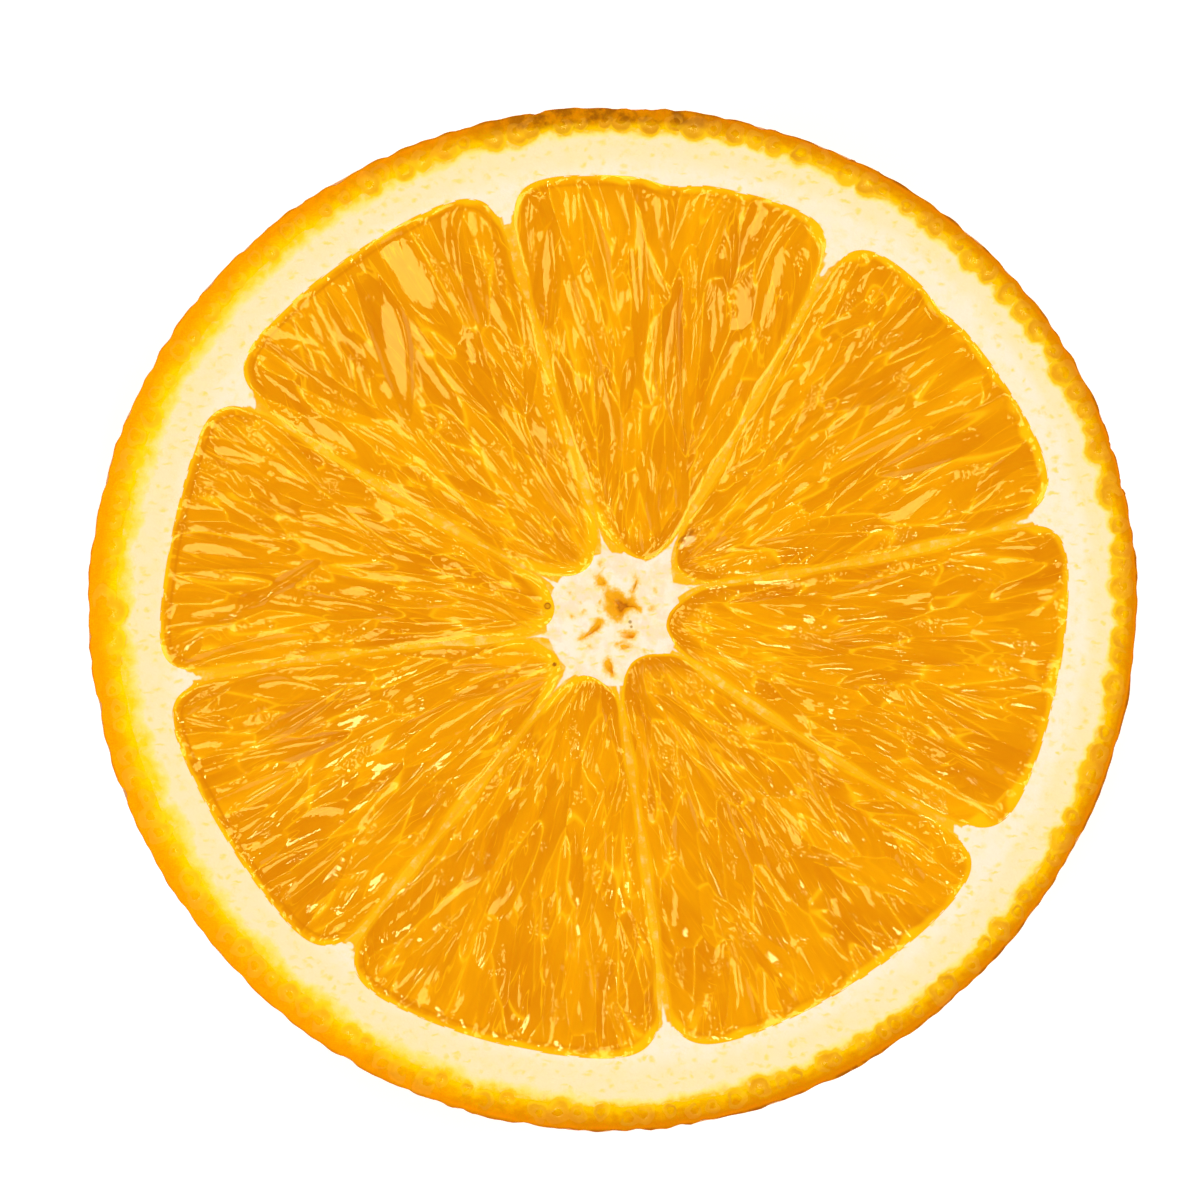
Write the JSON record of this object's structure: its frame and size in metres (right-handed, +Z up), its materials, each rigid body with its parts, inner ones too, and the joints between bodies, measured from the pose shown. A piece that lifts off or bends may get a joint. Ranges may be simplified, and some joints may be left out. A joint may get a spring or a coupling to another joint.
{
  "type": "orange half",
  "caption": "Orange cut across its middle, lying on its rind: pebbled zest, white pith and core, and wedges of pulp whose juice sacs stand up on the cut face.",
  "frame": {"origin": "on the small flat spot that the half rests on, under the middle of the cut face's box", "axes": "+Z up, square to the cut face; +X to the right and +Y to the top of the picture"},
  "size_m": [0.0758, 0.074, 0.0362],
  "materials": {
    "zest": "satin",
    "pith": "matte",
    "pulp": "gloss"
  },
  "bodies": {
    "root": {"zest": "zest", "pith": "pith", "segment_1": "pulp", "segment_2": "pulp", "segment_3": "pulp", "segment_4": "pulp", "segment_5": "pulp", "segment_6": "pulp", "segment_7": "pulp", "segment_8": "pulp"}
  },
  "joints": []
}
